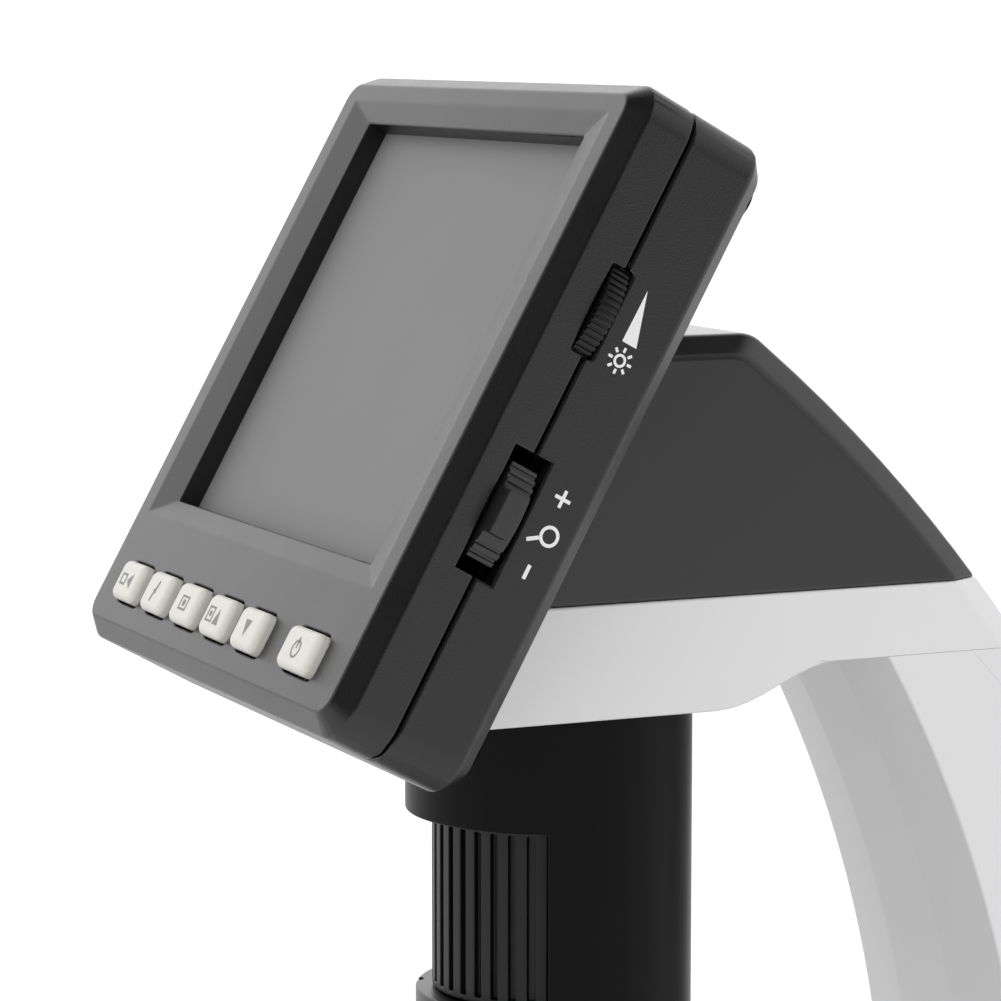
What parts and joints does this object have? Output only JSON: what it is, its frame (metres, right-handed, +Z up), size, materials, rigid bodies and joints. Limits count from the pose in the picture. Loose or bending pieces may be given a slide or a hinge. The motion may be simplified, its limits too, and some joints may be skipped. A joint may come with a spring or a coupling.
{
  "type": "lcd digital microscope",
  "caption": "Desktop digital microscope: tilting display with keys, wheel and zoom lever, a lens column with focus ring, a curved arm and a base with a clip stage.",
  "frame": {"origin": "on the table, under the middle of the base", "axes": "+X to the user's right, +Y to the back where the arm stands, +Z up"},
  "size_m": [0.11, 0.15, 0.2041],
  "materials": {
    "black_plastic": "fine grained satin",
    "head_black": "fine grained satin",
    "control_black": "ribbed matt",
    "white_plastic": "smooth satin",
    "key_plastic": "smooth satin",
    "display_glass": "glossy sheet",
    "display_stack": "dark laminate",
    "diffuser": "milky",
    "circuit_board": "solder mask",
    "component": "moulded",
    "steel": "bright plated",
    "hinge_metal": "black oxide",
    "battery_wrap": "shrink wrap",
    "led_lens": "clear domed",
    "optical_glass": "polished",
    "iron": "rough",
    "rubber": "matt"
  },
  "bodies": {
    "stand": {"hinge_ears": "hinge_metal", "hinge_pin": "steel", "head_cover": "head_black", "head_housing": "white_plastic", "head_screws": "steel", "battery_tray": "black_plastic", "battery_pack": "battery_wrap", "charge_board": "circuit_board", "column_sleeve": "head_black", "lens_guide": "black_plastic", "sensor_board": "circuit_board", "image_sensor": "display_stack", "index_ring": "black_plastic", "led_board": "circuit_board", "leds": "led_lens", "light_diffuser": "diffuser", "arm_front_shell": "white_plastic", "arm_back_shell": "white_plastic", "arm_screws": "steel", "base_housing": "white_plastic", "base_plate": "black_plastic", "base_weight": "iron", "base_screws": "steel", "rubber_feet": "rubber", "stage_plate": "black_plastic", "stage_insert": "diffuser", "clip_posts": "steel"},
    "display": {"front_bezel": "black_plastic", "rear_shell": "black_plastic", "display_glass": "display_glass", "display_panel": "display_stack", "backlight_plate": "diffuser", "main_board": "circuit_board", "key_board": "circuit_board", "key_switches": "component", "wheel_control": "component", "zoom_switch": "component", "card_socket": "steel", "usb_socket": "steel", "display_screws": "steel", "hinge_barrel": "black_plastic"},
    "key_1": {"key_1": "key_plastic"},
    "key_2": {"key_2": "key_plastic"},
    "key_3": {"key_3": "key_plastic"},
    "key_4": {"key_4": "key_plastic"},
    "key_5": {"key_5": "key_plastic"},
    "power_key": {"power_key": "key_plastic"},
    "brightness_wheel": {"brightness_wheel": "control_black"},
    "zoom_lever": {"zoom_lever": "control_black"},
    "focus_ring": {"focus_ring": "control_black"},
    "lens_barrel": {"lens_barrel": "control_black", "lens_front": "optical_glass", "lens_rear": "optical_glass"},
    "clip_left": {"clip_left": "steel"},
    "clip_right": {"clip_right": "steel"}
  },
  "joints": [
    {"name": "display_tilt", "type": "hinge", "parent": "stand", "child": "display", "pos_m": [0, -0.01855, 0.16503], "axis": [-1, 0, 0], "range_deg": [-6, 45]},
    {"name": "key_1_press", "type": "slide", "parent": "display", "child": "key_1", "axis": [0, 0.8746, -0.4848], "range_m": [0, 0.0007], "stiffness_N_per_m": 1500, "springref_m": -0.0002},
    {"name": "key_2_press", "type": "slide", "parent": "display", "child": "key_2", "axis": [0, 0.8746, -0.4848], "range_m": [0, 0.0007], "stiffness_N_per_m": 1500, "springref_m": -0.0002},
    {"name": "key_3_press", "type": "slide", "parent": "display", "child": "key_3", "axis": [0, 0.8746, -0.4848], "range_m": [0, 0.0007], "stiffness_N_per_m": 1500, "springref_m": -0.0002},
    {"name": "key_4_press", "type": "slide", "parent": "display", "child": "key_4", "axis": [0, 0.8746, -0.4848], "range_m": [0, 0.0007], "stiffness_N_per_m": 1500, "springref_m": -0.0002},
    {"name": "key_5_press", "type": "slide", "parent": "display", "child": "key_5", "axis": [0, 0.8746, -0.4848], "range_m": [0, 0.0007], "stiffness_N_per_m": 1500, "springref_m": -0.0002},
    {"name": "power_key_press", "type": "slide", "parent": "display", "child": "power_key", "axis": [0, 0.8746, -0.4848], "range_m": [0, 0.0007], "stiffness_N_per_m": 1500, "springref_m": -0.0002},
    {"name": "brightness_turn", "type": "hinge", "parent": "display", "child": "brightness_wheel", "pos_m": [0.0391, -0.03127, 0.17654], "axis": [0, -0.8746, 0.4848], "range_deg": [-140, 140]},
    {"name": "zoom_rock", "type": "hinge", "parent": "display", "child": "zoom_lever", "pos_m": [0.0358, -0.04453, 0.1521], "axis": [0, -0.8746, 0.4848], "range_deg": [-9, 9], "stiffness_Nm_per_rad": 0.07},
    {"name": "focus_turn", "type": "hinge", "parent": "stand", "child": "focus_ring", "pos_m": [0, -0.0162, 0.0922], "axis": [0, 0, 1], "range_deg": [-135, 135]},
    {"name": "lens_travel", "type": "slide", "parent": "stand", "child": "lens_barrel", "axis": [0, 0, 1], "range_m": [-0.006, 0.006]},
    {"name": "clip_left_swing", "type": "hinge", "parent": "stand", "child": "clip_left", "pos_m": [-0.031, 0.012, 0.0279], "axis": [0, 0, -1], "range_deg": [-20, 40]},
    {"name": "clip_right_swing", "type": "hinge", "parent": "stand", "child": "clip_right", "pos_m": [0.031, 0.012, 0.0279], "axis": [0, 0, 1], "range_deg": [-20, 40]}
  ],
  "couplings": [
    {"joint": "lens_travel", "follows": "focus_turn", "m_per_rad": 0.0025}
  ]
}
